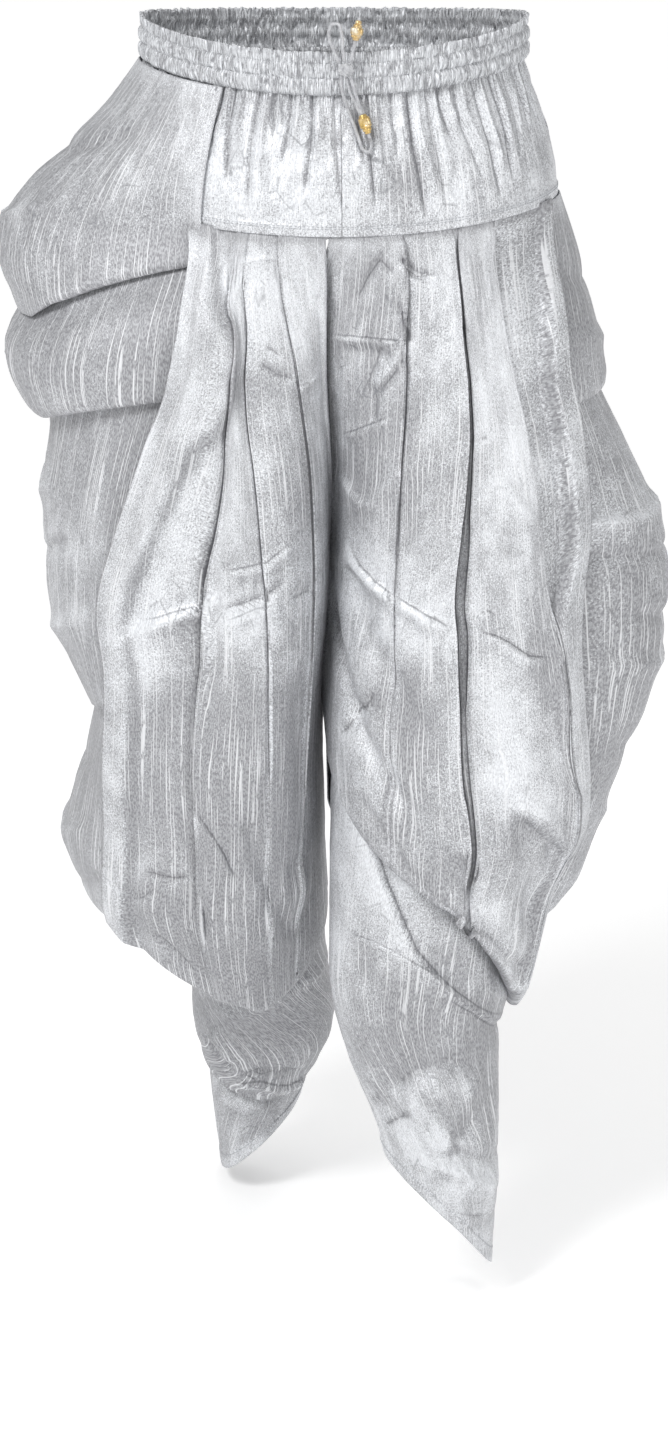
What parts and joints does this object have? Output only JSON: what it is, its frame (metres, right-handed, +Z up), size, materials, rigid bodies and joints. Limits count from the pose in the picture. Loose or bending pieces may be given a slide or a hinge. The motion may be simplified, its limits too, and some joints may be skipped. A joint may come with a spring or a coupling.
{
  "type": "dhoti",
  "caption": "Ready-made draped trousers in worn, walking shape: gathered drawstring waist, yoke, pleated wide legs with side cowls, narrow slanted hems.",
  "frame": {"origin": "middle of the waist where the wearer holds the garment up, level with the front of the waistband's top edge", "axes": "+Z up, -Y out of the garment's front, +X towards the wearer's left"},
  "size_m": [0.5299, 0.3527, 1.0002],
  "materials": {
    "cloth": "satin",
    "cord": "matte",
    "bead": "satin"
  },
  "bodies": {
    "root": {"waistband": "cloth", "yoke_front_left": "cloth", "yoke_front_right": "cloth", "yoke_back_left": "cloth", "yoke_back_right": "cloth", "leg_front_left": "cloth", "leg_front_right": "cloth", "leg_back_left": "cloth", "leg_back_right": "cloth", "side_panel_left": "cloth", "side_panel_right": "cloth", "lower_leg_left": "cloth", "lower_leg_right": "cloth", "calf_wrap_right": "cloth", "cord_loop_upper": "cord", "cord_end_upper": "cord", "cord_end_lower": "cord", "cord_loop_lower": "cord", "knot": "cord", "bead_upper": "bead", "bead_lower": "bead"}
  },
  "joints": []
}
